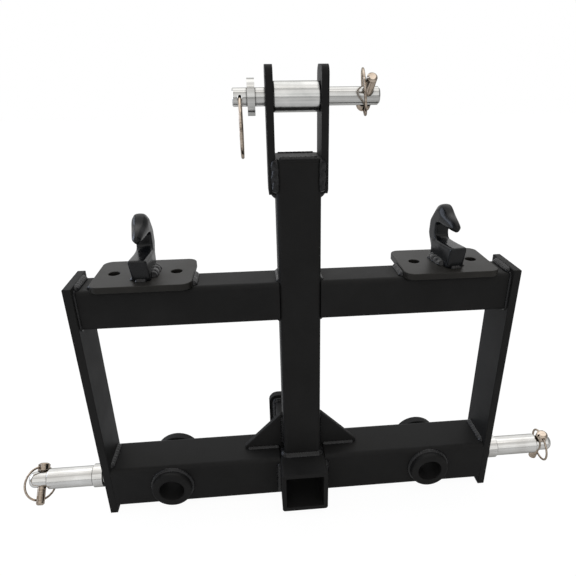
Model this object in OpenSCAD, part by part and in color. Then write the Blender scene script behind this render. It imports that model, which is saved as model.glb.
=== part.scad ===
// Three-point receiver hitch: a welded frame with two lower hitch pins, a top-link clevis,
// a receiver tube, two tapered spear sleeves and two chain grab hooks.
// The origin is the middle of the receiver's cross hole. +X is right, +Y rear, +Z up.

/* [Side plates] */
// Width over the outside of the two side plates
frame_w = 550; // [520:1:620]
// Thickness of the side plates
plate_t = 10; // [6:0.5:14]
// Depth of the side plates, front to rear
plate_d = 63.5; // [60:0.5:80]
// Reach of the side plates below the middle of the lower beam
plate_drop = 43; // [43:0.5:60]
// Reach of the side plates above the top beam
plate_lip = 6; // [3:0.5:20]

/* [Beams] */
// Outside width of the lower beam's square tube, and of the receiver
low_tube_w = 63.5; // [60:0.5:70]
// Wall of the lower beam
low_wall = 5; // [3:0.5:7]
// Outside width of the square tube of the top beam and the mast
top_tube_w = 50.8; // [46:0.2:56]
// Wall of the top beam and the mast
top_wall = 4; // [3:0.5:6]
// Height of the top beam's middle above the lower beam's middle
beam_height = 270; // [240:1:330]
// Outside corner radius of the tubes
tube_r = 6; // [3:0.5:8]

/* [Mast] */
// Height of the top-link pin above the lower pins
mast_rise = 502; // [460:1:560]
// Depth of the clevis, from the pin's middle to the mast's cap
clevis_depth = 62; // [50:1:80]
// Thickness of the mast's cap
cap_t = 4; // [2:0.5:8]
// Thickness of the clevis ears
ear_t = 8; // [6:0.5:12]
// Depth of the clevis ears, front to rear
ear_d = 43; // [38:0.5:46]
// Reach of the ears above the top-link pin's middle
ear_top = 32; // [24:0.5:40]
// Length of the ears' lap on the mast
ear_lap = 40; // [25:1:60]
// Radius of the ears' upper corners
ear_r = 11; // [6:0.5:16]
// Leg of the gussets at the mast's foot
gusset_leg = 55; // [40:1:80]
// Thickness of the gussets
gusset_t = 8; // [5:0.5:12]

/* [Receiver] */
// Inside width of the receiver
receiver_bore = 51.6; // [51:0.1:53]
// Reach of the receiver in front of the frame's middle plane
receiver_front = 66; // [50:1:90]
// Reach of the receiver behind the frame's middle plane
receiver_rear = 123; // [100:1:160]
// Distance from the receiver's cross hole back to its mouth
pin_to_mouth = 57; // [45:1:70]
// Diameter of the receiver's cross hole
cross_hole_d = 16.5; // [14:0.1:18]
// Outside width of the collar round the receiver's mouth
collar_w = 84; // [78:0.5:86]
// Length of the collar
collar_t = 12; // [8:0.5:20]

/* [Spear sleeves] */
// Distance of the spear sleeves from the middle
spear_x = 183.5; // [130:0.5:200]
// Outside diameter of the spear sleeves
spear_d = 54; // [50:0.5:56]
// Diameter of the sleeve's head behind the beam
spear_head_d = 64; // [60:0.5:70]
// Bore of the sleeve's straight front end
spear_bore = 34; // [30:0.1:36]
// Bore of the sleeve's wide rear mouth
spear_mouth = 44.5; // [40:0.1:46]
// Reach of the sleeve in front of the beam
spear_front = 11.5; // [6:0.5:20]
// Reach of the sleeve behind the beam
spear_rear = 13; // [8:0.5:20]
// Length of the straight part of the bore
spear_straight = 40; // [25:1:55]

/* [Chain hooks] */
// Distance from the side plates' inner faces to the middle of the hook plates
hook_inset = 77.5; // [70:0.5:100]
// Width of the hook plates
hook_plate_w = 118; // [100:1:130]
// Depth of the hook plates
hook_plate_d = 90; // [70:1:100]
// Thickness of the hook plates
hook_plate_t = 8; // [5:0.5:12]
// Corner radius of the hook plates
hook_plate_r = 12; // [6:0.5:20]
// Shift of the hook plates to the rear of the beam's middle
hook_plate_back = 10.5; // [0:0.5:14]
// Distance between a hook plate's two holes
bolt_gap = 75; // [60:0.5:90]
// Diameter of the hook plates' holes
bolt_d = 14; // [10:0.5:17]
// Thickness of the forged hooks
hook_t = 19; // [14:0.5:24]
// Width of the hook's foot
hook_foot_w = 21; // [20:0.5:26]
// Length of the hook's foot
hook_foot = 54; // [46:1:60]
// Height of the hook's lip, which is the floor of its throat
hook_lip = 25; // [21:0.5:28]
// Clear height of the hook's mouth, from the lip to the tip
hook_gap = 17; // [15:0.5:19]
// Rise of the throat's roof from the mouth to its back
hook_rise = 6; // [2:0.5:7]
// Depth of the throat, from the hook's front edge to the middle of its round end
hook_throat = 38; // [34:0.5:42]
// Depth of the hook's back, from the throat to the rear
hook_back_d = 21; // [18:0.5:24]
// Overall height of the hook
hook_h = 69; // [66:0.5:76]
// Width of the hook's tip
hook_tip_w = 10; // [9:0.5:16]
// Width of the bevel on the hook's back and head
hook_bevel = 4; // [2:0.25:4.5]
// Turn of the right hook's front edge outward, in degrees
hook_turn = 7; // [0:1:12]

/* [Lower pins] */
// Diameter of the lower hitch pins
pin_d = 22.2; // [20:0.1:23]
// Reach of the lower pins beyond the side plates
pin_reach = 112; // [104:0.5:130]
// Diameter of the neck against the side plate
neck_d = 26; // [24:0.5:30]
// Length of the neck
neck_len = 9; // [5:0.5:14]
// Diameter of the shoulder that stops the lift arm
shoulder_d = 33; // [31:0.5:40]
// Length of the shoulder
shoulder_len = 13; // [6:0.5:18]
// Outside diameter of the turning sleeve
sleeve_d = 28.6; // [26:0.1:30]
// Length of the turning sleeve
sleeve_len = 63.5; // [50:0.5:66]
// Distance from the linchpin's middle to the pin's tip
tip_len = 17; // [14:0.5:22]

/* [Top pin] */
// Diameter of the top-link pin
top_pin_d = 19.05; // [18:0.05:20]
// Reach of the pin to the left of the middle
top_pin_left = 68.5; // [66:0.5:80]
// Reach of the pin to the right of the middle
top_pin_right = 91; // [86:0.5:100]
// Distance from the linchpin's middle to the top pin's right end
top_tip_len = 14; // [12:0.5:18]
// Distance from the middle to the pin's collar
top_collar_x = 44.5; // [40:0.5:46]
// Diameter of the pin's collar
top_collar_d = 38; // [30:0.5:42]
// Length of the pin's collar
top_collar_len = 8; // [5:0.5:10]
// Outside diameter of the sleeve between the ears
top_sleeve_d = 31.75; // [28:0.05:34]
// Distance from the pull ring's hole to the pin's left end
pull_hole_inset = 8; // [6:0.5:10]
// Diameter of the pull ring's wire
pull_wire = 3.5; // [2.5:0.1:4]
// Radius of the pull ring to the middle of its wire
pull_r = 31.5; // [25:0.5:34]
// Lean of the hanging pull ring to the right, in degrees
pull_lean = 0; // [0:1:20]

/* [Linchpins] */
// Diameter of the linchpins' shanks
shank_d = 11.1; // [9:0.1:11.5]
// Reach of the shank beyond the middle of the pin it locks
shank_len = 35; // [31:0.5:40]
// Width of the linchpin's head
head_w = 14; // [12:0.5:16]
// Height of the linchpin's head
head_h = 11; // [10:0.5:16]
// Diameter of the snap ring's wire
ring_wire = 3; // [2:0.1:3.4]
// Radius of the snap ring to the middle of its wire
ring_r = 23; // [22:0.5:26]
// Lean of the left linchpin's head to the rear, in degrees
lean_left = 48; // [0:1:60]
// Lean of the right linchpin's head to the rear, in degrees
lean_right = -14; // [-60:1:60]
// Lean of the top linchpin's head to the rear, in degrees
lean_top = 125; // [90:1:140]
// Turn of the left linchpin about its own shank, in degrees
turn_left = 38; // [0:1:45]

/* [Welds and fits] */
// Leg of the large fillet welds
weld = 6; // [4:0.5:8]
// Leg of the small fillet welds
weld_small = 4; // [3:0.5:5]
// Gap all round between a welded-in turned piece and its hole
set_gap = 0.1; // [0.05:0.05:0.3]
// Running gap all round between a pin and what turns on it
run_gap = 0.1; // [0.05:0.05:0.2]
// Loose gap all round between a pin and its holes
loose_gap = 0.3; // [0.2:0.05:0.5]
// Gap at the end faces of what turns
end_gap = 0.3; // [0.2:0.05:0.6]

/* [Hidden] */
$fn = 48;
wire_fn = 20;
hook_fn = 36;
hook_floor_r = 7;

// Paint and plating
paint = "#242426";
forged = "#3a3a3c";
zinc = "#d3d6d6";
nickel = "#b7ab98";
bead = "#2c2c2e";

// Sides are numbers, so that one module makes both of a pair
left = -1;
right = 1;

// Planes and heights that pieces share
mid_y = pin_to_mouth - receiver_rear;
inner_x = frame_w / 2 - plate_t;
deck_z = low_tube_w / 2;
beam_top_z = beam_height + top_tube_w / 2;
plate_h = plate_drop + beam_top_z + plate_lip;
cap_z = mast_rise - clevis_depth;
post_h = cap_z - cap_t - deck_z;
ear_x = top_tube_w / 2;
ear_h = ear_lap + clevis_depth + ear_top;
ear_foot_z = cap_z - ear_lap;
hook_x = inner_x - hook_inset;
hook_z = beam_top_z + hook_plate_t;
hook_y = mid_y + hook_plate_back;
low_flat = low_tube_w - 2 * tube_r;
top_flat = top_tube_w - 2 * tube_r;
through = low_tube_w * 2;
cut = 1;
// The hook's foot ends this far inside its named length, where the back's curve begins
hook_heel = 4;

// The receiver's corners are tighter than the beams', as on thick-walled tube
receiver_r = tube_r * 2 / 3;
receiver_wall = (low_tube_w - receiver_bore) / 2;
receiver_len = receiver_front + receiver_rear;

// Lower pins, measured from the outside of the side plate
pin_root_x = frame_w / 2;
shoulder_x = pin_root_x + neck_len;
sleeve_x = shoulder_x + shoulder_len + end_gap;
pin_tip_x = pin_root_x + pin_reach;
lynch_x = pin_tip_x - tip_len;
pin_nose_r = pin_d / 3;

// Top pin
top_lynch_x = top_pin_right - top_tip_len;
pull_x = pull_hole_inset - top_pin_left;
// The pull ring's arc sags over the pin's width, so the ring sits half that sag high
pull_sag = top_pin_d * top_pin_d / 8 / pull_r;
pull_hole_d = pull_wire + pull_sag + 2 * loose_gap;

// Linchpins: the ring's ends enter the head's eye, and its far side lies beside the shank.
// The ring's arc sags over the head's width, so the ring sits half that sag high.
ring_gap = head_w / 3;
ring_open = asin(ring_gap / 2 / ring_r);
ring_sag = head_w * head_w / 8 / ring_r;
ring_span = 2 * ring_r - ring_sag / 2;
ring_lean = asin((shank_d / 2 + ring_wire / 2 + 2 * loose_gap) / ring_span);
eye_d = ring_wire + ring_sag + 2 * run_gap;
eye_h = head_h / 2;

module on_side(side) {
    mirror([side < 0 ? 1 : 0, 0, 0]) children();
}

// A rectangle with round corners, from plain squares and circles
module round_rect(w, h, r) {
    square([w - 2 * r, h], center = true);
    square([w, h - 2 * r], center = true);
    for (sx = [-1, 1], sy = [-1, 1]) {
        translate([sx * (w / 2 - r), sy * (h / 2 - r)]) circle(r);
    }
}

module square_tube(w, wall, r) {
    difference() {
        round_rect(w, w, r);
        round_rect(w - 2 * wall, w - 2 * wall, max(r - wall, 1));
    }
}

// Turns a shape drawn upright along Z so that it lies along +X or +Y
module along_x() {
    rotate([90, 0, 90]) children();
}
module along_y() {
    rotate([-90, 0, 0]) children();
}

// Moves to the middle of a lower pin's linchpin hole, or of the top pin's
module at_lower_hole(side) {
    translate([side * lynch_x, mid_y, 0]) children();
}
module at_top_hole() {
    translate([top_lynch_x, mid_y, mast_rise]) children();
}
// Leans what is drawn along +Z to the rear
module lean(angle) {
    rotate([-angle, 0, 0]) children();
}

// A flat bar with the lower pin's hole
module side_plate(side) {
    color(paint) on_side(side) difference() {
        translate([inner_x, mid_y - plate_d / 2, -plate_drop]) cube([plate_t, plate_d, plate_h]);
        translate([inner_x - cut, mid_y, 0]) along_x()
            cylinder(d = pin_d + 2 * set_gap, h = plate_t + 2 * cut);
    }
}

// Half of the top beam, drilled through its top wall with the hook plate
module top_beam(side) {
    color(paint) on_side(side) difference() {
        translate([ear_x, mid_y, beam_height]) along_x() linear_extrude(inner_x - ear_x)
            square_tube(top_tube_w, top_wall, tube_r);
        translate([hook_x, hook_y, beam_height]) hook_plate_holes(top_tube_w);
    }
}

// Half of the lower beam, bored for the spear sleeve
module lower_beam(side) {
    color(paint) on_side(side) difference() {
        translate([deck_z, mid_y, 0]) along_x() linear_extrude(inner_x - deck_z)
            square_tube(low_tube_w, low_wall, tube_r);
        translate([spear_x, mid_y - through / 2, 0]) along_y()
            cylinder(d = spear_d + 2 * set_gap, h = through);
    }
}

module mast_post() {
    color(paint) translate([0, mid_y, deck_z]) linear_extrude(post_h)
        square_tube(top_tube_w, top_wall, tube_r);
}

module mast_cap() {
    color(paint) translate([0, mid_y, cap_z - cap_t]) linear_extrude(cap_t)
        round_rect(top_tube_w, top_tube_w, tube_r);
}

// A flat bar with round upper corners and clipped lower ones
module clevis_ear(side) {
    clip = ear_r / 2;
    color(paint) on_side(side) translate([ear_x, mid_y, ear_foot_z]) difference() {
        along_x() linear_extrude(ear_t) union() {
            polygon([
                [-ear_d / 2 + clip, 0], [ear_d / 2 - clip, 0], [ear_d / 2, clip],
                [ear_d / 2, ear_h - ear_r], [-ear_d / 2, ear_h - ear_r], [-ear_d / 2, clip]
            ]);
            translate([-ear_d / 2 + ear_r, ear_h - 2 * ear_r]) square([ear_d - 2 * ear_r, 2 * ear_r]);
            for (s = [-1, 1]) translate([s * (ear_d / 2 - ear_r), ear_h - ear_r]) circle(ear_r);
        }
        translate([-cut, 0, mast_rise - ear_foot_z]) along_x()
            cylinder(d = top_pin_d + 2 * loose_gap, h = ear_t + 2 * cut);
    }
}

// A triangle between the mast and the lower beam, its sharp ends cut blunt
module gusset(side) {
    blunt = gusset_t / 2;
    color(paint) on_side(side) translate([ear_x, mid_y + gusset_t / 2, deck_z]) rotate([90, 0, 0])
        linear_extrude(gusset_t) polygon([
            [0, 0], [gusset_leg, 0], [gusset_leg, blunt], [blunt, gusset_leg], [0, gusset_leg]
        ]);
}

// Thick square tube, open at both ends, with the cross hole near its rear mouth
module receiver_tube() {
    color(paint) difference() {
        translate([0, mid_y - receiver_front, 0]) along_y() linear_extrude(receiver_len)
            square_tube(low_tube_w, receiver_wall, receiver_r);
        translate([-through / 2, 0, 0]) along_x() cylinder(d = cross_hole_d, h = through);
    }
}

// A square ring welded round the mouth
module receiver_collar() {
    inner_w = low_tube_w + 2 * set_gap;
    color(paint) translate([0, pin_to_mouth - collar_t, 0]) along_y() linear_extrude(collar_t)
        difference() {
            round_rect(collar_w, collar_w, receiver_r + (collar_w - inner_w) / 2);
            round_rect(inner_w, inner_w, receiver_r);
        }
}

// A turned sleeve: straight bore in front, then a taper that opens to the rear mouth
module spear_sleeve(side) {
    front = -deck_z - spear_front;
    back = deck_z + spear_rear;
    edge = 1.5;
    color(paint) on_side(side) translate([spear_x, mid_y, 0]) along_y() rotate_extrude() polygon([
        [spear_bore / 2, front], [spear_d / 2 - edge, front], [spear_d / 2, front + edge],
        [spear_d / 2, deck_z], [spear_head_d / 2, deck_z], [spear_head_d / 2, back - edge],
        [spear_head_d / 2 - edge, back], [spear_mouth / 2, back], [spear_bore / 2, front + spear_straight]
    ]);
}

module hook_plate_holes(depth) {
    for (s = [-1, 1]) translate([s * bolt_gap / 2, 0, 0]) cylinder(d = bolt_d, h = depth);
}

module hook_plate(side) {
    color(paint) on_side(side) translate([hook_x, hook_y, beam_top_z]) difference() {
        linear_extrude(hook_plate_t) round_rect(hook_plate_w, hook_plate_d, hook_plate_r);
        translate([0, 0, -cut]) hook_plate_holes(hook_plate_t + 2 * cut);
    }
}

// The hooks stand on their plates, the right one turned about the rear of its foot
module at_hook(side) {
    translate([side * hook_x, hook_y - hook_plate_d / 3 + hook_foot, hook_z])
        rotate([0, 0, side < 0 ? 0 : hook_turn]) translate([0, -hook_foot, 0]) children();
}

// A thick disc across the hook, with both rims bevelled; at is its place in the side view
module hook_disc(at, r, width, bevel) {
    along_x() translate([at[0], at[1], 0]) both_ways([0, 0, 1]) hull() {
        cylinder(r = r, h = width / 2 - bevel, $fn = hook_fn);
        cylinder(r = r - bevel, h = width / 2, $fn = hook_fn);
    }
}

// The throat's side view: a flat floor, a deep round back and a roof that falls to the mouth
module hook_throat_outline() {
    roof_r = 5;
    roof_z = hook_lip + hook_gap + hook_rise - roof_r;
    hull() {
        translate([hook_throat, hook_lip + hook_floor_r]) circle(hook_floor_r, $fn = hook_fn);
        translate([hook_throat + hook_floor_r - roof_r, roof_z]) circle(roof_r, $fn = hook_fn);
        translate([-hook_floor_r, hook_lip]) square([hook_floor_r, hook_gap - hook_rise / 2]);
    }
}

// The throat through the hook, with the sharp edge taken off on both sides
module hook_throat_cut() {
    edge = 1;
    along_x() linear_extrude(hook_t * 2, center = true) hook_throat_outline();
    both_ways([1, 0, 0]) translate([hook_foot_w / 2, 0, 0]) hull() {
        along_x() linear_extrude(cut) offset(r = edge, $fn = hook_fn) hook_throat_outline();
        translate([-edge, 0, 0]) along_x() linear_extrude(cut) hook_throat_outline();
    }
}

// A block under the throat; its front corners and the lip's sides are bevelled
module hook_foot_block() {
    edge = 1.5;
    length = hook_foot - hook_heel;
    hull() {
        translate([edge - hook_foot_w / 2, 0, 0]) cube([hook_foot_w - 2 * edge, length, hook_lip]);
        translate([-hook_foot_w / 2, edge, 0]) cube([hook_foot_w, length - edge, hook_lip - edge]);
    }
}

// A bevelled bar between each two neighbours in a list of discs
module hook_bar(discs) {
    for (i = [1 : len(discs) - 1]) hull() for (d = [discs[i - 1], discs[i]]) {
        hook_disc(d[0], d[1], d[2], hook_bevel);
    }
}

// A forged grab hook: a foot, a round back, and a head that narrows to the tip
module chain_hook(side) {
    brow_r = 8.5;
    tip_r = 5;
    lean = 1.5;
    back_r = 0.55 * hook_back_d;
    wall_y = hook_throat + hook_floor_r;
    back_y = wall_y + hook_back_d - back_r;
    heel = [wall_y - lean, hook_lip - back_r];
    back = [back_y, hook_lip + back_r / 2];
    neck = [back_y - lean, hook_lip + hook_gap];
    crown = [wall_y - lean, hook_h - back_r];
    brow = [wall_y - 2 * brow_r, hook_h - 2 * brow_r];
    tip = [1.75 * tip_r, hook_lip + hook_gap + 1.25 * tip_r];
    color(forged) at_hook(side) difference() {
        union() {
            hook_foot_block();
            hook_bar([
                [heel, back_r, hook_t], [back, back_r, hook_t], [neck, back_r, hook_t],
                [crown, back_r, hook_t], [brow, brow_r, (hook_t + hook_tip_w) / 2]
            ]);
            hull() {
                hook_disc(crown, back_r, hook_t, hook_bevel);
                hook_disc(brow, brow_r, (hook_t + hook_tip_w) / 2, hook_bevel);
                hook_disc(tip, tip_r, hook_tip_w, hook_bevel);
            }
        }
        hook_throat_cut();
    }
}

// A turned pin: root in the plate, neck, shoulder, shaft and round nose, drilled across
module lower_pin(side) {
    color(zinc) difference() {
        on_side(side) translate([inner_x, mid_y, 0]) along_x() rotate_extrude() union() {
            square([pin_d / 2, pin_tip_x - inner_x - pin_nose_r]);
            square([pin_d / 2 - pin_nose_r, pin_tip_x - inner_x]);
            translate([pin_d / 2 - pin_nose_r, pin_tip_x - inner_x - pin_nose_r]) intersection() {
                circle(pin_nose_r);
                square(pin_nose_r);
            }
            translate([0, plate_t]) square([neck_d / 2, neck_len]);
            translate([0, plate_t + neck_len]) square([shoulder_d / 2, shoulder_len]);
        }
        at_lower_hole(side) lean(side < 0 ? lean_left : lean_right) shank_hole();
    }
}

module shank_hole() {
    translate([0, 0, -pin_d]) cylinder(d = shank_d + 2 * loose_gap, h = 2 * pin_d);
}

// A turned tube along +X, with the outer edges broken
module bushing(outer_d, inner_d, length) {
    edge = 0.8;
    along_x() rotate_extrude() polygon([
        [inner_d / 2, 0], [outer_d / 2 - edge, 0], [outer_d / 2, edge],
        [outer_d / 2, length - edge], [outer_d / 2 - edge, length], [inner_d / 2, length]
    ]);
}

module lower_sleeve(side) {
    color(zinc) on_side(side) translate([sleeve_x, mid_y, 0])
        bushing(sleeve_d, pin_d + 2 * run_gap, sleeve_len);
}

// The top pin, drilled for its linchpin and front to rear for the pull ring
module top_pin() {
    edge = 2;
    blunt = 1;
    length = top_pin_left + top_pin_right;
    collar = top_pin_left - top_collar_x - top_collar_len;
    color(zinc) difference() {
        translate([-top_pin_left, mid_y, mast_rise]) along_x() rotate_extrude() union() {
            polygon([
                [0, 0], [top_pin_d / 2 - blunt, 0], [top_pin_d / 2, blunt], [top_pin_d / 2, length - edge],
                [top_pin_d / 2 - edge, length], [0, length]
            ]);
            translate([0, collar]) square([top_collar_d / 2, top_collar_len]);
        }
        at_top_hole() lean(lean_top) shank_hole();
        translate([pull_x, mid_y - top_pin_d, mast_rise]) along_y()
            cylinder(d = pull_hole_d, h = 2 * top_pin_d);
    }
}

module top_sleeve() {
    color(zinc) translate([end_gap - ear_x, mid_y, mast_rise])
        bushing(top_sleeve_d, top_pin_d + 2 * run_gap, top_tube_w - 2 * end_gap);
}

// A closed wire ring through the pin's left end
module top_pull_ring() {
    color(nickel) translate([pull_x, mid_y, mast_rise]) rotate([0, -pull_lean, 0])
        translate([0, 0, pull_sag / 2 - pull_r]) along_x() rotate_extrude()
        translate([pull_r, 0]) circle(d = pull_wire, $fn = wire_fn);
}

// A linchpin along Z that locks a pin of diameter d lying along X; the head is on top
module linchpin(d) {
    head_z = d / 2 + end_gap;
    edge = 2;
    color(nickel) difference() {
        union() {
            translate([0, 0, -shank_len]) cylinder(d1 = shank_d - 2 * edge, d2 = shank_d, h = edge);
            translate([0, 0, edge - shank_len]) cylinder(d = shank_d, h = shank_len - edge + head_z);
            translate([0, 0, head_z]) linchpin_head();
        }
        translate([0, -head_w, head_z + eye_h]) along_y()
            cylinder(d = eye_d, h = 2 * head_w, $fn = wire_fn);
    }
}

// The head: a short drum with a domed top and two flats, which face the ring's ends
module linchpin_head() {
    bulge = 1;
    intersection() {
        cylinder(r = head_w / 2 + bulge, h = head_h);
        sphere(r = head_h + bulge, $fn = 64);
        translate([-head_w, -head_w / 2, 0]) cube([2 * head_w, head_w, head_h]);
    }
}

// A snap ring in a linchpin's head, its far side beside the shank, to the right or left
module snap_ring(d, side) {
    color(nickel) translate([0, 0, d / 2 + end_gap + eye_h]) rotate([0, -side * ring_lean, 0])
        translate([0, 0, ring_sag / 2 - ring_r]) along_x() rotate([0, 0, 90 + ring_open])
        rotate_extrude(angle = 360 - 2 * ring_open)
        translate([ring_r, 0]) circle(d = ring_wire, $fn = wire_fn);
}

module lower_linchpin(side) {
    at_lower_hole(side) lean(side < 0 ? lean_left : lean_right)
        rotate([0, 0, side < 0 ? -turn_left : 0]) linchpin(pin_d);
}

module lower_ring(side) {
    at_lower_hole(side) lean(side < 0 ? lean_left : lean_right)
        rotate([0, 0, side < 0 ? -turn_left : 0]) snap_ring(pin_d, side);
}

module top_linchpin() {
    at_top_hole() lean(lean_top) linchpin(top_pin_d);
}

module top_ring() {
    at_top_hole() lean(lean_top) snap_ring(top_pin_d, left);
}

// A fillet weld along +Z in the corner between the XZ and YZ planes, with a round face
module fillet(length, leg) {
    linear_extrude(length) intersection() {
        circle(leg);
        square(leg);
    }
}

// The same weld on a floor that looks up: along Y against a wall at x = 0 that looks to +X,
// or along X against a wall at y = 0 that looks to +Y
module fillet_y(length, leg) {
    translate([0, length / 2, 0]) rotate([90, 0, 0]) fillet(length, leg);
}
module fillet_x(length, leg) {
    translate([-length / 2, 0, 0]) rotate([90, 0, 90]) fillet(length, leg);
}

module both_ways(axis) {
    children();
    mirror(axis) children();
}

// Above and below both ends of each half beam, and up its front and rear at the side plate
module weld_top_beam() {
    side_leg = min(weld_small, (plate_d - top_tube_w) / 2);
    color(bead) both_ways([1, 0, 0]) translate([0, mid_y, beam_height]) {
        both_ways([0, 0, 1]) translate([0, 0, top_tube_w / 2]) {
            translate([ear_x, 0, 0]) fillet_y(top_flat, weld_small);
            translate([inner_x, 0, 0]) mirror([1, 0, 0]) fillet_y(top_flat, weld_small);
        }
        translate([inner_x, 0, -top_flat / 2]) both_ways([0, 1, 0])
            translate([0, top_tube_w / 2, 0]) mirror([1, 0, 0]) fillet(top_flat, side_leg);
    }
}

// Above and below at the side plates, and up the front and rear at the receiver
module weld_lower_beam() {
    color(bead) both_ways([1, 0, 0]) translate([0, mid_y, 0]) {
        both_ways([0, 0, 1]) translate([inner_x, 0, deck_z]) mirror([1, 0, 0]) fillet_y(low_flat, weld);
        both_ways([0, 1, 0]) translate([deck_z, deck_z, -low_flat / 2]) fillet(low_flat, weld);
    }
}

// Round the mast's foot, and along both sides of each gusset's two legs
module weld_mast_foot() {
    leg_len = gusset_leg - gusset_t;
    color(bead) translate([0, mid_y, deck_z]) both_ways([0, 1, 0]) {
        translate([0, top_tube_w / 2, 0]) fillet_x(top_flat, weld);
        both_ways([1, 0, 0]) translate([ear_x, gusset_t / 2, 0]) {
            translate([weld_small + leg_len / 2, 0, 0]) fillet_x(leg_len, weld_small);
            translate([0, 0, weld_small]) fillet(leg_len, weld_small);
        }
    }
}

// Under each ear's foot, and up its front and rear edges on the mast
module weld_clevis() {
    side_leg = min(weld_small, (top_tube_w - ear_d) / 2 - end_gap);
    side_len = ear_lap - ear_r;
    foot_len = ear_d - ear_r;
    color(bead) both_ways([1, 0, 0]) translate([ear_x, mid_y, ear_foot_z]) {
        mirror([0, 0, 1]) fillet_y(foot_len, weld);
        both_ways([0, 1, 0]) translate([0, ear_d / 2, ear_r / 2]) fillet(side_len, side_leg);
    }
}

module weld_hook_plates() {
    color(bead) both_ways([1, 0, 0]) translate([hook_x, mid_y, beam_top_z]) both_ways([1, 0, 0])
        translate([hook_plate_w / 2, 0, 0]) fillet_y(top_flat, weld);
}

// Round each hook's foot, larger along its sides
module weld_hooks() {
    foot = hook_foot - hook_heel;
    color(bead) for (side = [left, right]) at_hook(side) {
        both_ways([1, 0, 0]) translate([hook_foot_w / 2, foot / 2, 0])
            fillet_y(foot - 2 * weld_small, weld);
        mirror([0, 1, 0]) fillet_x(hook_t - 2 * weld_small, weld_small);
        translate([0, foot, 0]) fillet_x(hook_t - 2 * weld_small, weld_small);
    }
}

module ring_weld(d, leg) {
    rotate_extrude() translate([d / 2, 0]) intersection() {
        circle(leg);
        square(leg);
    }
}

module weld_spear_sleeves() {
    color(bead) both_ways([1, 0, 0]) translate([spear_x, mid_y - deck_z, 0]) mirror([0, 1, 0])
        along_y() ring_weld(spear_d, weld_small);
}

module weld_lower_pins() {
    color(bead) both_ways([1, 0, 0]) translate([pin_root_x, mid_y, 0]) along_x()
        ring_weld(neck_d, weld_small);
}

// Four straight beads in front of the collar
module weld_collar() {
    run = low_tube_w - 2 * receiver_r;
    color(bead) translate([0, pin_to_mouth - collar_t, 0]) for (turn = [0 : 90 : 270])
        rotate([0, turn, 0]) translate([0, 0, deck_z]) mirror([0, 1, 0]) fillet_x(run, weld);
}

side_plate(left);  // side_plate_left
side_plate(right);  // side_plate_right
top_beam(left);  // top_beam_left
top_beam(right);  // top_beam_right
lower_beam(left);  // lower_beam_left
lower_beam(right);  // lower_beam_right
mast_post();
mast_cap();
clevis_ear(left);  // clevis_ear_left
clevis_ear(right);  // clevis_ear_right
gusset(left);  // gusset_left
gusset(right);  // gusset_right
receiver_tube();
receiver_collar();
spear_sleeve(left);  // spear_sleeve_left
spear_sleeve(right);  // spear_sleeve_right
hook_plate(left);  // hook_plate_left
hook_plate(right);  // hook_plate_right
chain_hook(left);  // chain_hook_left
chain_hook(right);  // chain_hook_right
lower_pin(left);  // lower_pin_left
lower_pin(right);  // lower_pin_right
lower_sleeve(left);  // lower_sleeve_left
lower_sleeve(right);  // lower_sleeve_right
lower_linchpin(left);  // lower_linchpin_left
lower_linchpin(right);  // lower_linchpin_right
lower_ring(left);  // lower_ring_left
lower_ring(right);  // lower_ring_right
top_pin();
top_sleeve();
top_pull_ring();
top_linchpin();
top_ring();
weld_top_beam();
weld_lower_beam();
weld_mast_foot();
weld_clevis();
weld_hook_plates();
weld_hooks();
weld_spear_sleeves();
weld_lower_pins();
weld_collar();
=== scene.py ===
import math

import bpy
import numpy as np
from mathutils import Matrix, Vector


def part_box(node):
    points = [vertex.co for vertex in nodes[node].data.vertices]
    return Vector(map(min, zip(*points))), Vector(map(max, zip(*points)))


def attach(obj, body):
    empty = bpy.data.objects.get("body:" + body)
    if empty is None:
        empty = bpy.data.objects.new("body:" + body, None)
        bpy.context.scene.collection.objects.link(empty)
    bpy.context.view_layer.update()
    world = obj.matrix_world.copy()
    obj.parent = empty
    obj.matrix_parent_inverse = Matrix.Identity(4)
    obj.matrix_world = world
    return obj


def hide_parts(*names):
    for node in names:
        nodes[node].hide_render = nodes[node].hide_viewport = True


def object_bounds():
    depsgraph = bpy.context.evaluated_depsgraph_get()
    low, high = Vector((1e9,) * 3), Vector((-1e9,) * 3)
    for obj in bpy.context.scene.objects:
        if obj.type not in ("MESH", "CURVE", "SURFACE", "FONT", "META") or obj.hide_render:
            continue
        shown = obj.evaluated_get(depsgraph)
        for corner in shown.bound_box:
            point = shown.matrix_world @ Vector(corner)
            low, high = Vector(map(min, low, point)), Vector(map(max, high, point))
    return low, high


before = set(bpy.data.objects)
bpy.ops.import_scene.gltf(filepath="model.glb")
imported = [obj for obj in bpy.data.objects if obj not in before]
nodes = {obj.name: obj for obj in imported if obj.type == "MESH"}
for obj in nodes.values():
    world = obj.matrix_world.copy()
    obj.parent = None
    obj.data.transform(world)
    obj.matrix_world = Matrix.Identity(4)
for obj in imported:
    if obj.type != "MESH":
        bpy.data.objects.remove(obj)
cad_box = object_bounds()


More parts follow.
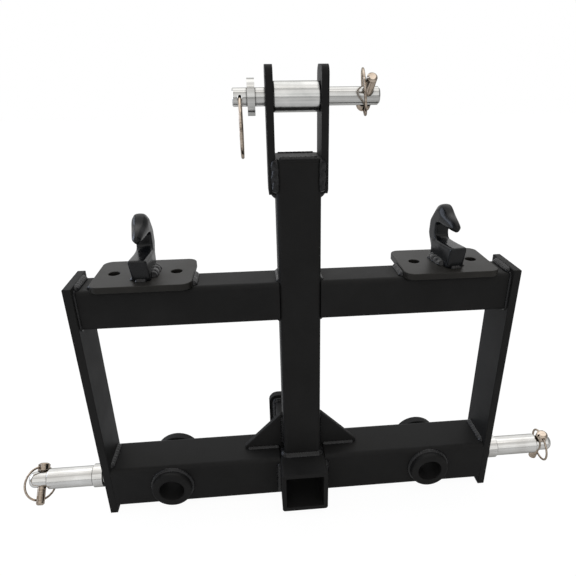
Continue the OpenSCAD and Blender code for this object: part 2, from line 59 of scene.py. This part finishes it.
# The view
# The photographer stood in front of the hitch, a little to its left, and looked
# down on it. The lens and the tilt come from the edges of its square tubes.
photo_px = 576
lens_px = 521.15
axis_px = (306.28, 310.19)
stand = (-0.0498, -0.6717, 0.5328)
turn, tilt, roll = (math.radians(a) for a in (5.591, 25.203, -0.403))
ahead = Vector((math.sin(turn) * math.cos(tilt),
                math.cos(turn) * math.cos(tilt),
                -math.sin(tilt)))
level = Vector((math.cos(turn), -math.sin(turn), 0))
above = level.cross(ahead)
across = level * math.cos(roll) + above * math.sin(roll)
upward = above * math.cos(roll) - level * math.sin(roll)
view = bpy.data.cameras.new("view")
view.sensor_width = 36
view.lens = lens_px / photo_px * view.sensor_width
view.shift_x = (photo_px / 2 - axis_px[0]) / photo_px
view.shift_y = (axis_px[1] - photo_px / 2) / photo_px
viewer = bpy.data.objects.new("viewer", view)
bpy.context.scene.collection.objects.link(viewer)
bearing = Matrix((across, upward, -ahead)).transposed().to_4x4()
viewer.matrix_world = Matrix.Translation(stand) @ bearing
bpy.context.scene.camera = viewer


# Side plates
# Flat bars of hot-rolled mild steel, sheared to length, powder coated satin black.
# The oven leaves a faint orange peel. The coat is thinner along the rolled edges, and their
# lighter colour there is also a painted edge highlight.
mm = 0.001


def linear(code):
    """An sRGB hex colour as linear red, green, blue and alpha."""
    channels = [int(code[i:i + 2], 16) / 255 for i in (1, 3, 5)]
    return [c / 12.92 if c <= 0.04045 else ((c + 0.055) / 1.055) ** 2.4 for c in channels] + [1]


def add(tree, kind, values=None, **settings):
    """A shader node with its settings; a value that is a socket is linked."""
    node = tree.nodes.new("ShaderNode" + kind)
    for name, value in settings.items():
        setattr(node, name, value)
    for name, value in (values or {}).items():
        if isinstance(value, bpy.types.NodeSocket):
            tree.links.new(value, node.inputs[name])
        else:
            node.inputs[name].default_value = value
    return node


def surface(name):
    material = bpy.data.materials.new(name)
    material.use_nodes = True
    material.node_tree.nodes.clear()
    return material, material.node_tree


def finish_with(tree, shader):
    add(tree, "OutputMaterial", {"Surface": shader.outputs[0]})


def powder_coat(name, deep, thin, roughness, peel_mm, gloss, patch_mm=60):
    """Deep is the coat's full colour, and thin its colour where it is thin or dusty, and along
    the edges, where the coat is thinner and the lighter colour is also a painted edge highlight.
    """
    speck_mm, edge_mm = 1.2, 1.6
    material, tree = surface(name)
    place = add(tree, "TexCoord").outputs["Object"]
    # Patches where the coat lies thicker or duller: broad on flat steel, small on small pieces;
    # on the welds and the hook plates their lighter colour is painted light
    patches = add(tree, "TexNoise", {"Vector": place, "Scale": 1 / (patch_mm * mm),
                                     "Detail": 4.0, "Roughness": 0.6})
    specks = add(tree, "TexNoise", {"Vector": place, "Scale": 1 / (speck_mm * mm), "Detail": 2.0})
    # Orange peel is about 1 mm from crest to crest; it is drawn coarser, so that it shows
    peel = add(tree, "TexNoise", {"Vector": place, "Scale": 1 / (peel_mm * mm),
                                  "Detail": 2.0, "Roughness": 0.5})
    soft_edge = add(tree, "Bevel", {"Radius": edge_mm * mm}, samples=6)
    true_face = add(tree, "NewGeometry").outputs["Normal"]
    # Painted edge highlight: where the bevel normal turns away from the face's normal, the colour
    # goes towards the thin colour; the coat is also thinner there
    edge_light_turn = add(tree, "VectorMath", {0: soft_edge.outputs[0], 1: true_face},
                 operation="DOT_PRODUCT")
    edge = add(tree, "MapRange", {"Value": edge_light_turn.outputs["Value"], "From Min": 1.0,
                                  "From Max": 0.8, "To Min": 0.0, "To Max": 0.55})
    tone = add(tree, "MapRange", {"Value": patches.outputs[0], "From Min": 0.35,
                                  "From Max": 0.7, "To Min": 0.0, "To Max": 0.45})
    patches_and_edge_light = add(tree, "Math", {0: tone.outputs[0], 1: edge.outputs[0]}, operation="MAXIMUM")
    colour = add(tree, "Mix", {"Factor": patches_and_edge_light.outputs[0], "A": linear(deep), "B": linear(thin)},
                 data_type="RGBA")
    shine = add(tree, "MapRange", {"Value": patches.outputs[0], "From Min": 0.3, "From Max": 0.7,
                                   "To Min": roughness - 0.05, "To Max": roughness + 0.07})
    grain = add(tree, "Bump", {"Height": peel.outputs[0], "Strength": 0.35,
                               "Distance": 0.08 * mm, "Normal": soft_edge.outputs[0]})
    fine = add(tree, "Bump", {"Height": specks.outputs[0], "Strength": 0.3,
                              "Distance": 0.03 * mm, "Normal": grain.outputs[0]})
    coat = add(tree, "BsdfPrincipled", {"Base Color": colour.outputs["Result"],
                                        "Roughness": shine.outputs[0],
                                        "Normal": fine.outputs[0], "Specular IOR Level": gloss})
    finish_with(tree, coat)
    return material


def pair(*names):
    """The left and the right piece of each name."""
    return [name + hand for name in names for hand in ("_left", "_right")]


def dress(material, *names):
    for name in names:
        nodes[name].data.materials.clear()
        nodes[name].data.materials.append(material)


def round_edges(width_mm, *names):
    """The small round edge that rolling, cutting or turning leaves, softened by the coat."""
    for name in names:
        piece = nodes[name]
        joined = piece.modifiers.new("joined", "WELD")
        joined.merge_threshold = 0.001 * mm
        flat = piece.modifiers.new("flat", "DECIMATE")
        flat.decimate_type = "DISSOLVE"
        flat.angle_limit = math.radians(0.5)
        edge = piece.modifiers.new("edge", "BEVEL")
        edge.width = width_mm * mm
        edge.segments = 3
        edge.limit_method = "ANGLE"
        edge.angle_limit = math.radians(35)
        shade = piece.modifiers.new("shade", "WEIGHTED_NORMAL")
        shade.weight = 100
        piece.data.shade_smooth()


plate_coat = powder_coat("satin_black_powder_coat", "#242424", "#303030",
                         roughness=0.48, peel_mm=2.2, gloss=0.08)
dress(plate_coat, *pair("side_plate"))
round_edges(1.2, *pair("side_plate"))


# Beams and mast
# Square tubes of cold-formed structural steel with round corners, cut square and
# welded between the side plates. The same coat covers them.
dress(plate_coat, *pair("top_beam", "lower_beam"), "mast_post", "mast_cap")


# Clevis ears and gussets
# Flame-cut flat bars of mild steel. The ears are welded to the mast's two sides and
# carry the top pin, and the gussets brace its foot. They have the plates' coat.
dress(plate_coat, *pair("clevis_ear", "gusset"))
round_edges(1.0, *pair("clevis_ear", "gusset"))


# Receiver
# A thick-walled square steel tube, welded between the lower beams, with a square
# collar round its rear mouth. Both have the plates' coat.
dress(plate_coat, "receiver_tube", "receiver_collar")
round_edges(0.8, "receiver_tube", "receiver_collar")


# Spear sleeves
# Turned steel sleeves with a tapered bore for a bale spear, set through the lower
# beam, welded round and coated with it.
dress(plate_coat, *pair("spear_sleeve"))
round_edges(0.8, *pair("spear_sleeve"))


# Hook plates
# Laser-cut pads with two bolt holes each, welded on the top beam. Their coat has lighter,
# warmer patches than the plates' coat, painted as the warm reflection on their tops, and it is
# glossier.
pad_coat_painted_reflection = powder_coat("black_powder_coat_painted_reflection", "#201f1d", "#403e3b",
                       roughness=0.42, peel_mm=2.0, gloss=0.22)
dress(pad_coat_painted_reflection, *pair("hook_plate"))
round_edges(0.9, *pair("hook_plate"))


# Chain grab hooks
# Drop forgings with bevelled edges, welded upright on their pads. The coat flows
# over the forged skin, so it is glossier there, in small soft patches.
hook_coat = powder_coat("black_coat_on_forging", "#101113", "#232529",
                        roughness=0.22, peel_mm=5.0, gloss=0.33, patch_mm=12)
hook_x, pad_top, hook_swing = 187.5, 303.4, 7
foot_y, foot_length, foot_half, foot_high = -85.5, 54, 10.5, 24


def on_hook(side, y, z):
    """A point of the hook's side view, in mm from its foot's front edge, set on the hitch."""
    swing = math.radians(hook_swing) if side > 0 else 0
    back = foot_length - y
    return Vector((side * hook_x + math.sin(swing) * back,
                   foot_y + foot_length - math.cos(swing) * back,
                   pad_top + z)) * mm


def forged(name, cad_node, side, skin_mm, rounds):
    """The CAD hook as the die leaves it: its edges flow, and its foot stays flat on the pad."""
    skin_loss, head_round, foot_lean, lean_length, sole_high = 0.45, 2.6, 3.5, 28, 6
    blank = bpy.data.objects.new(name, nodes[cad_node].data.copy())
    bpy.context.scene.collection.objects.link(blank)
    skin = blank.modifiers.new("skin", "REMESH")
    skin.mode = "VOXEL"
    skin.voxel_size = skin_mm * mm
    skin.use_smooth_shade = True
    soft = blank.modifiers.new("soft", "SMOOTH")
    soft.factor = 0.5
    soft.iterations = rounds
    shaped = blank.evaluated_get(bpy.context.evaluated_depsgraph_get())
    made = bpy.data.meshes.new_from_object(shaped)
    blank.modifiers.clear()
    blank.data = made
    # The smoothing has drawn the skin in; it goes back out by the same amount
    for v, n in zip(made.vertices, [tuple(v.normal) for v in made.vertices]):
        v.co += Vector(n) * skin_loss * mm
    # Crown, brow and back are full curves: place in the side view, where to, how far, how wide
    narrow_x = Vector((0.4, 1, 1))
    for at, to, far, wide in (((36, 69), (0, 1), 2.0, 8),
                              ((23, 67), (0, 1), -0.9, 6),
                              ((12, 58), (-0.7, 0.7), 1.2, 8),
                              ((62, 50), (1, 0.3), 1.0, 13)):
        centre = on_hook(side, *at)
        push = (on_hook(side, *to) - on_hook(side, 0, 0)) * far
        for v in made.vertices:
            gap = ((v.co - centre) * narrow_x).length / (wide * mm)
            v.co += push * math.exp(-gap * gap)
    # The head is rounded across, and the foot's front leans outward; high is in foot heights
    corner = on_hook(side, 0, 0)
    rearward = on_hook(side, lean_length, 0) - corner
    crosswise = rearward.cross(Vector((0, 0, 1))).normalized()
    outward = side * foot_lean * mm
    for v in made.vertices:
        back = (v.co - corner).dot(rearward) / rearward.length_squared
        high = (v.co.z - corner.z) / (foot_high * mm)
        aside = (v.co - corner).dot(crosswise) / (foot_half * mm)
        v.co.z -= head_round * mm * aside * aside * max(0, min(1, (high - 2.0) / 0.6))
        if high < 1.2:
            v.co.x += outward * (high - 0.3) * max(0, min(1, 1 - back))
    # The smoothing has lifted the sole as well, and it goes back down onto the pad
    base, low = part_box(cad_node)[0].z, min(v.co.z for v in made.vertices)
    for v in made.vertices:
        near = max(0, 1 - (v.co.z - low) / (sole_high * mm))
        v.co.z -= (low - base) * near * near
    made.materials.clear()
    made.materials.append(hook_coat)
    made.shade_smooth()
    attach(blank, "frame")
    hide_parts(cad_node)


for hand, side in (("left", -1), ("right", 1)):
    forged("forged_hook_" + hand, "chain_hook_" + hand, side, skin_mm=0.8, rounds=18)


# Weld beads
# Fillets laid by hand with a wire gun. Each bead is a row of frozen ripples that
# curve back from its middle, and the coat shines on them.
# Its small light patches are painted mottled highlights, as glossy ripples show; its gloss is the
# coat's own
weld_coat = powder_coat("black_coat_on_weld", "#131314", "#3c3c3f",
                        roughness=0.24, peel_mm=2.0, gloss=0.35, patch_mm=5)
chance = np.random.default_rng(7)


def bead(run, out, up, leg, closed=False, pitch_mm=3.4, depth=0.13):
    """A bead along run in mm: out points away from the wall on the floor, up along the wall."""
    slices, station_mm, drift_mm, unsteady, uneven = 10, 0.45, 5, 0.25, 0.05
    run, out, up = (np.asarray(a, float) for a in (run, out, up))
    if closed:
        run, out = np.vstack([run, run[:1]]), np.vstack([out, out[:1]])
    step = np.r_[0, np.cumsum(np.linalg.norm(np.diff(run, axis=0), axis=1))]
    length = step[-1]
    s = np.linspace(0, length, max(int(length / station_mm), 8), endpoint=not closed)
    line = np.stack([np.interp(s, step, run[:, i]) for i in range(3)], 1)
    away = np.stack([np.interp(s, step, out[:, i]) for i in range(3)], 1)
    away /= np.linalg.norm(away, axis=1)[:, None]
    # In section it is between flat and round, and its toes lie just inside both walls
    t = np.radians(np.linspace(-3, 93, slices))
    flat = 1 / np.maximum(np.cos(t) + np.sin(t), 0.9)
    form = leg * (0.5 * np.minimum(flat, 1) + 0.5)
    # The welder's hand is never quite even, in its pace and in the bead's size
    pitch = length / round(length / pitch_mm) if closed else pitch_mm
    knots = max(int(length / drift_mm), 3)
    drift = np.interp(s, np.linspace(0, length, knots),
                      chance.uniform(-unsteady, unsteady, knots))
    thin = np.interp(s, np.linspace(0, length, 2 * knots),
                     chance.uniform(-uneven, 0.0, 2 * knots))
    if closed:
        fade = np.sin(math.pi * s / length)
        drift, thin = drift * fade, thin * fade
    bow = 0.5 * np.linspace(-1, 1, slices) ** 2
    phase = s[:, None] / pitch + bow[None, :] + drift[:, None]
    crest = np.abs(np.sin(math.pi * phase)) ** 0.5
    size = form[None, :] * (1 - depth + depth * crest + thin[:, None])
    if not closed:
        end = np.minimum(np.minimum(s, length - s) / (0.8 * leg), 1)
        size = size * np.sqrt(np.maximum(1 - (1 - end) ** 2, 0.02))[:, None]
    section = np.cos(t)[None, :, None] * away[:, None, :] + np.sin(t)[None, :, None] * up
    points = line[:, None, :] + size[..., None] * section
    points = np.concatenate([points, line[:, None, :]], 1)
    rows, cols = points.shape[:2]
    faces = []
    for i in range(rows if closed else rows - 1):
        j = (i + 1) % rows
        for k in range(cols):
            m = (k + 1) % cols
            faces.append((i * cols + k, j * cols + k, j * cols + m, i * cols + m))
    if not closed:
        faces.append(tuple(range(cols)))
        faces.append(tuple(range((rows - 1) * cols, rows * cols))[::-1])
    return points.reshape(-1, 3), faces


def straight(start, stop, out, up, leg, **manner):
    """A bead from start to stop, with its wall on the same side all along."""
    return bead([start, stop], [out, out], up, leg, **manner)


def front_to_rear(x, z, half, out, up, leg, **manner):
    """A straight bead across the frame's thickness, half mm to each side of its middle."""
    return straight((x, middle_y - half, z), (x, middle_y + half, z), out, up, leg, **manner)


def both_sides(parts):
    """Adds to each bead its mirror image on the hitch's other side."""
    done = []
    for points, faces in parts:
        done.append((points, faces))
        done.append((points * [-1, 1, 1], [f[::-1] for f in faces]))
    return done


def lay(name, cad_node, parts):
    """Makes one piece of the beads, in place of the plain fillets of a CAD node."""
    points, faces, start = [], [], 0
    for p, f in parts:
        points.append(p)
        faces += [tuple(i + start for i in face) for face in f]
        start += len(p)
    mesh = bpy.data.meshes.new(name)
    mesh.from_pydata([tuple(p) for p in np.vstack(points) * mm], [], faces)
    mesh.validate()
    mesh.shade_smooth()
    mesh.materials.append(weld_coat)
    piece = bpy.data.objects.new(name, mesh)
    bpy.context.scene.collection.objects.link(piece)
    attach(piece, "frame")
    if cad_node:
        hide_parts(cad_node)


def corner_run(centre, right, over, half, radius, start, stop):
    """Part of a rounded square, from start to stop in degrees, and its outward directions."""
    right, over, centre = (np.asarray(a, float) for a in (right, over, centre))
    flat = half - radius
    run, out = [], []
    for a in np.radians(np.linspace(start, stop, 181)):
        c, s = math.cos(a), math.sin(a)
        k = half / max(abs(c), abs(s))
        x, y = c * k, s * k
        if abs(x) > flat and abs(y) > flat:
            # Beyond both flats the outline is the corner's arc
            ray, hub = np.array([abs(c), abs(s)]), np.array([flat, flat])
            b = ray @ hub
            reach = b + math.sqrt(max(b * b - hub @ hub + radius * radius, 0))
            x, y = math.copysign(ray[0] * reach, c), math.copysign(ray[1] * reach, s)
            n = np.array([x - math.copysign(flat, x), y - math.copysign(flat, y)])
            n /= np.linalg.norm(n)
        elif abs(c) > abs(s):
            n = np.array([math.copysign(1, c), 0])
        else:
            n = np.array([0, math.copysign(1, s)])
        run.append(centre + x * right + y * over)
        out.append(n[0] * right + n[1] * over)
    return run, out


def circle_run(centre, right, over, radius):
    """A circle's outline and its outward directions."""
    right, over, centre = (np.asarray(a, float) for a in (right, over, centre))
    angle = np.radians(np.arange(0, 360, 3))
    out = np.cos(angle)[:, None] * right + np.sin(angle)[:, None] * over
    return centre + radius * out, out


x_axis, y_axis, z_axis = np.eye(3)
all_round = 0, 358
big_leg, small_leg = 6.0, 4.0
middle_y, plate_x, beam_z = -66.0, 265.0, 270.0
deck, mast_half, tube_round = 31.75, 25.4, 6

# Round the mast's foot, stopping at the gussets, and along the gussets' legs
gusset_half, leg_start, leg_stop, clear = 4, 5, 52, 18
parts = [bead(*corner_run((0, middle_y, deck), x_axis, y_axis, mast_half, tube_round,
                          a + clear, a + 180 - clear), z_axis, big_leg) for a in (0, 180)]
for side in (1, -1):
    face, face_y = (0, side, 0), middle_y + side * gusset_half
    parts += both_sides([
        straight((mast_half + leg_start, face_y, deck), (mast_half + leg_stop, face_y, deck),
                 face, z_axis, small_leg),
        straight((mast_half, face_y, deck + leg_start), (mast_half, face_y, deck + leg_stop),
                 face, x_axis, small_leg)])
lay("beads_mast_foot", "weld_mast_foot", parts)

# Lower beam: over and under at the side plates, and up its face at the receiver
half = 26
parts = []
for up in (1, -1):
    parts.append(front_to_rear(plate_x, up * deck, half, (0, 0, up), -x_axis, big_leg,
                               pitch_mm=5.0, depth=0.07))
    face_y = middle_y + up * deck
    parts.append(straight((deck, face_y, -half), (deck, face_y, half), (0, up, 0),
                          x_axis, big_leg))
lay("beads_lower_beam", "weld_lower_beam", both_sides(parts))

# Top beam: all round at the side plates and once more over it, over and under at the mast
seam_leg, plate_run, mast_run = 2.4, 22, 20
parts = [bead(*corner_run((plate_x, middle_y, beam_z), y_axis, z_axis, mast_half, tube_round,
                          *all_round), -x_axis, seam_leg, closed=True),
         front_to_rear(plate_x, beam_z + mast_half, plate_run, (0, 0, 1), -x_axis, big_leg)]
for up in (1, -1):
    parts.append(front_to_rear(mast_half, beam_z + up * mast_half, mast_run, (0, 0, up),
                               x_axis, small_leg))
lay("beads_top_beam", "weld_top_beam", both_sides(parts))

# Under each ear's foot and up its two edges on the mast
ear_foot_z, ear_half, ear_run, ear_leg, sunk = 400.0, 21.5, 16, 6.5, 0.4
low_z, high_z = ear_foot_z + 3, ear_foot_z + 40
parts = [front_to_rear(mast_half, ear_foot_z, ear_run, (0, 0, -1), x_axis, big_leg)]
for side in (1, -1):
    lean = np.array([-0.35, side * 0.937, 0])
    edge_x, edge_y = mast_half - sunk, middle_y + side * ear_half
    parts.append(straight((edge_x, edge_y, low_z), (edge_x, edge_y, high_z),
                          lean, x_axis, ear_leg, pitch_mm=13.0, depth=0.18))
lay("beads_clevis", "weld_clevis", both_sides(parts))

# Over the mast's cap, front and rear, between the ears
cap_z, cap_half, cap_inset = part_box("mast_cap")[1].z / mm, 21, 2.5
parts = []
for side, leg in ((1, 1.4), (-1, 3.0)):
    edge_y = middle_y + side * (mast_half - cap_inset)
    parts.append(straight((-cap_half, edge_y, cap_z), (cap_half, edge_y, cap_z), (0, side, 0),
                          z_axis, leg, pitch_mm=5.0, depth=0.22))
lay("beads_mast_cap", None, parts)

# Along both ends of each hook plate
beam_top, pad_half, pad_run = 295.4, 59.0, 20
parts = [front_to_rear(hook_x + s * pad_half, beam_top, pad_run, (s, 0, 0), z_axis, big_leg)
         for s in (1, -1)]
lay("beads_hook_plates", "weld_hook_plates", both_sides(parts))

# Round each hook's foot; the side towards the mast has the heavier bead, in a few slow steps
heel, half = 4, 7
parts = []
for side, swing in ((-1, 0), (1, math.radians(hook_swing))):
    along = np.array([-math.sin(swing), math.cos(swing), 0])
    square = np.array([math.cos(swing), math.sin(swing), 0])
    front = np.array([side * hook_x, foot_y + foot_length, pad_top]) - foot_length * along
    rear = front + (foot_length - heel) * along
    for s, leg, start, stop in ((side, 4.5, 3, 47), (-side, 8.0, 10, 49)):
        flank = front + s * foot_half * square
        parts.append(straight(flank + start * along, flank + stop * along, s * square,
                              z_axis, leg, pitch_mm=11.0, depth=0.26))
    for end, out in ((front, -along), (rear, along)):
        parts.append(straight(end - half * square, end + half * square, out, z_axis, small_leg))
lay("beads_hooks", "weld_hooks", parts)

# Rings round the spear sleeves in front and round the lower pins' necks
sleeve_x, sleeve_radius = 183.5, 27
parts = [bead(*circle_run((sleeve_x, middle_y - deck, 0), x_axis, z_axis, sleeve_radius),
              -y_axis, small_leg, closed=True)]
lay("beads_spear_sleeves", "weld_spear_sleeves", both_sides(parts))
neck_x, neck_radius = 275, 13
parts = [bead(*circle_run((neck_x, middle_y, 0), y_axis, z_axis, neck_radius),
              x_axis, small_leg, closed=True)]
lay("beads_lower_pins", "weld_lower_pins", both_sides(parts))

# Round the receiver in front of its collar
collar_y, receiver_round = 45, 4
parts = [bead(*corner_run((0, collar_y, 0), x_axis, z_axis, deck, receiver_round, *all_round),
              -y_axis, big_leg, closed=True)]
lay("beads_collar", "weld_collar", parts)


# Lower hitch pins
# Turned from round bar, zinc plated and cleared, and welded into the side plates.
# The plating is bright, with a soft white bloom.
def zinc_plate(name, bright, dull, roughness, line_mm):
    """Bright is the fresh plating's colour, and dull its colour in streaks line_mm apart."""
    bloom_mm, seam_shade_mm = 30, 3
    material, tree = surface(name)
    place = add(tree, "TexCoord").outputs["Object"]
    # Polishing and handling leave faint streaks along the pins, which lie crosswise
    drawn = add(tree, "Mapping", {"Vector": place, "Scale": (0.02, 1.0, 1.0)})
    lines = add(tree, "TexNoise", {"Vector": drawn.outputs[0], "Scale": 1 / (line_mm * mm),
                                   "Detail": 2.0, "Roughness": 0.5})
    bloom = add(tree, "TexNoise", {"Vector": place, "Scale": 1 / (bloom_mm * mm),
                                   "Detail": 3.0, "Roughness": 0.5})
    both = add(tree, "Math", {0: lines.outputs[0], 1: bloom.outputs[0]}, operation="MULTIPLY")
    streak = add(tree, "MapRange", {"Value": both.outputs[0], "From Min": 0.15,
                                    "From Max": 0.4, "To Min": 0.0, "To Max": 1.0})
    colour = add(tree, "Mix", {"Factor": streak.outputs[0], "A": linear(bright),
                               "B": linear(dull)}, data_type="RGBA")
    shine = add(tree, "MapRange", {"Value": streak.outputs[0], "From Min": 0.0, "From Max": 1.0,
                                   "To Min": roughness, "To Max": roughness + 0.08})
    marks = add(tree, "Bump", {"Height": lines.outputs[0], "Strength": 0.1,
                               "Distance": 0.02 * mm})
    # Painted shade: the colour goes to near black where ambient occlusion finds the seams and
    # gaps between the pieces
    seam_occlusion = add(tree, "AmbientOcclusion", {"Distance": seam_shade_mm * mm}, samples=8)
    unshaded_share = add(tree, "MapRange", {"Value": seam_occlusion.outputs["AO"], "From Min": 0.5,
                                   "From Max": 0.9, "To Min": 0.0, "To Max": 1.0})
    with_painted_seam_shade = add(tree, "Mix", {"Factor": unshaded_share.outputs[0], "A": linear("#2c2a28"),
                               "B": colour.outputs["Result"]}, data_type="RGBA")
    plate = add(tree, "BsdfPrincipled", {"Base Color": with_painted_seam_shade.outputs["Result"],
                                         "Roughness": shine.outputs[0],
                                         "Metallic": 1.0, "Normal": marks.outputs[0],
                                         "Specular Tint": linear("#b4b4b2")})
    finish_with(tree, plate)
    return material


turned_zinc = zinc_plate("bright_zinc_on_turned_steel", "#f1f1ef", "#d8d7d4",
                         roughness=0.11, line_mm=1.6)
dress(turned_zinc, *pair("lower_pin"))
round_edges(0.9, *pair("lower_pin"))


# Turning sleeves
# Short lengths of tube that turn on the pins, zinc plated like them. The lower two
# are turned bright, and the top one is left as drawn, a little duller.
drawn_zinc = zinc_plate("bright_zinc_on_drawn_tube", "#ebebe9", "#b3b5b3",
                        roughness=0.18, line_mm=2.6)
dress(turned_zinc, *pair("lower_sleeve"))
dress(drawn_zinc, "top_sleeve")
round_edges(0.9, *pair("lower_sleeve"), "top_sleeve")


# Linchpins and their snap rings
# Forged steel pins, each with a ring of spring wire that snaps over the shank.
# They are yellow zinc plated, and the film is thin, so it looks like pale straw.
yellow_zinc = zinc_plate("pale_yellow_zinc", "#dccdbd", "#8f7f6f",
                         roughness=0.1, line_mm=1.0)
dress(yellow_zinc, *pair("lower_linchpin", "lower_ring"), "top_linchpin", "top_ring")
round_edges(0.7, *pair("lower_linchpin"), "top_linchpin")


# Top pin
# Turned with its collar in one piece, cross-drilled for the linchpin, and zinc plated
# like the lower pins, but a shade duller.
dull_zinc = zinc_plate("dull_zinc_on_turned_steel", "#dededc", "#c2c2bf",
                       roughness=0.13, line_mm=2.0)
dress(dull_zinc, "top_pin")
round_edges(0.5, "top_pin")


# Pull ring
# A closed ring of spring wire through the top pin's end, to pull it out by. It is
# plated like the linchpins.
dress(yellow_zinc, "top_pull_ring")


# Studio
# The hitch stands on white paper in a pale room with dark side walls. Its light comes
# from a wide panel overhead and a cooler one on the left. The paper and the walls
# count as white where the camera sees them, and a quarter of that shows in metal.
def panel(name, place, aim, size, watts, colour):
    """A soft rectangular lamp at place, turned to aim, in metres."""
    lamp = bpy.data.lights.new(name, "AREA")
    lamp.shape = "RECTANGLE"
    lamp.size, lamp.size_y = size
    lamp.energy = watts
    lamp.color = linear(colour)[:3]
    holder = bpy.data.objects.new(name, lamp)
    bpy.context.scene.collection.objects.link(holder)
    holder.location = place
    holder.rotation_euler = (Vector(aim) - Vector(place)).to_track_quat("-Z", "Y").to_euler()


def counts_as_white(tree):
    """1 for a ray from the camera, and a quarter for one that metal or glass sends on."""
    ray = add(tree, "LightPath").outputs
    mirrored = add(tree, "Math", {0: ray["Is Glossy Ray"], 1: ray["Is Transmission Ray"]},
                   operation="MAXIMUM")
    dimmed = add(tree, "Math", {0: mirrored.outputs[0], 1: 0.25}, operation="MULTIPLY")
    seen = add(tree, "Math", {0: ray["Is Camera Ray"], 1: dimmed.outputs[0]},
               operation="MAXIMUM")
    return seen.outputs[0]


panel("overhead", (0.1, 0.3, 2.1), aim=(0, -0.05, 0.2), size=(3.0, 2.2),
      watts=11.5, colour="#fdfaf7")
panel("left_panel", (-1.7, 0.35, 0.8), aim=(-0.1, -0.05, 0.3), size=(1.2, 1.4),
      watts=14, colour="#e0ebff")

paper_half, paper_glow, paper_share = 6.0, 1.13, 0.85
corners = [(x * paper_half, y * paper_half, cad_box[0].z)
           for x, y in ((-1, -1), (1, -1), (1, 1), (-1, 1))]
floor_mesh = bpy.data.meshes.new("floor")
floor_mesh.from_pydata(corners, [], [(0, 1, 2, 3)])
floor = bpy.data.objects.new("floor", floor_mesh)
bpy.context.scene.collection.objects.link(floor)
paper, tree = surface("white_paper_floor")
seen = counts_as_white(tree)
lit = add(tree, "BsdfDiffuse", {"Color": linear("#cccccc")})
glow = add(tree, "Emission", {"Color": linear("#ffffff"), "Strength": paper_glow})
share = add(tree, "Math", {0: seen, 1: paper_share}, operation="MULTIPLY")
both = add(tree, "MixShader", {"Fac": share.outputs[0], 1: lit.outputs[0], 2: glow.outputs[0]})
finish_with(tree, both)
floor_mesh.materials.append(paper)

room = bpy.data.worlds.new("white_room")
room.use_nodes = True
tree = room.node_tree
tree.nodes.clear()
# From the front (left of the ramp) over the ceiling to the wall behind
towards = add(tree, "SeparateXYZ", {"Vector": add(tree, "TexCoord").outputs["Generated"]})
place = add(tree, "MapRange", {"Value": towards.outputs["Y"], "From Min": -1.0,
                               "From Max": 1.0, "To Min": 0.0, "To Max": 1.0})
bands = add(tree, "ValToRGB", {"Fac": place.outputs[0]})
stops = ((0.0, "#f1f1f0"), (0.16, "#eceae8"), (0.25, "#b4b2af"), (0.36, "#e6e3df"),
         (0.45, "#929190"), (0.53, "#7e7f80"), (0.66, "#f4f4f3"), (1.0, "#ffffff"))
steps = bands.color_ramp.elements
while len(steps) < len(stops):
    steps.new(0.5)
for step, (at, code) in zip(steps, stops):
    step.position, step.color = at, linear(code)
# The side walls are dark, and so is a strip just above the floor in front of the hitch
sideways = add(tree, "Math", {0: towards.outputs["X"]}, operation="ABSOLUTE")
walls = add(tree, "MapRange", {"Value": sideways.outputs[0], "From Min": 0.45,
                               "From Max": 0.85, "To Min": 1.0, "To Max": 0.1})
strip = add(tree, "MapRange", {"Value": towards.outputs["Z"], "From Min": 0.03,
                               "From Max": 0.1, "To Min": 0.15, "To Max": 1.0})
behind = add(tree, "Math", {0: towards.outputs["Y"], 1: 0.0}, operation="GREATER_THAN")
clear = add(tree, "Math", {0: strip.outputs[0], 1: behind.outputs[0]}, operation="MAXIMUM")
dim = add(tree, "Math", {0: walls.outputs[0], 1: clear.outputs[0]}, operation="MULTIPLY")
room_colour = add(tree, "Mix", {"Factor": dim.outputs[0], "A": linear("#000000"),
                                "B": bands.outputs["Color"]}, data_type="RGBA")
shade = add(tree, "Mix", {"Factor": counts_as_white(tree), "A": room_colour.outputs["Result"],
                          "B": linear("#ffffff")}, data_type="RGBA")
air = add(tree, "Background", {"Color": shade.outputs["Result"], "Strength": 1.0})
add(tree, "OutputWorld", {"Surface": air.outputs[0]})
bpy.context.scene.world = room
bpy.context.scene.view_settings.view_transform = "Standard"
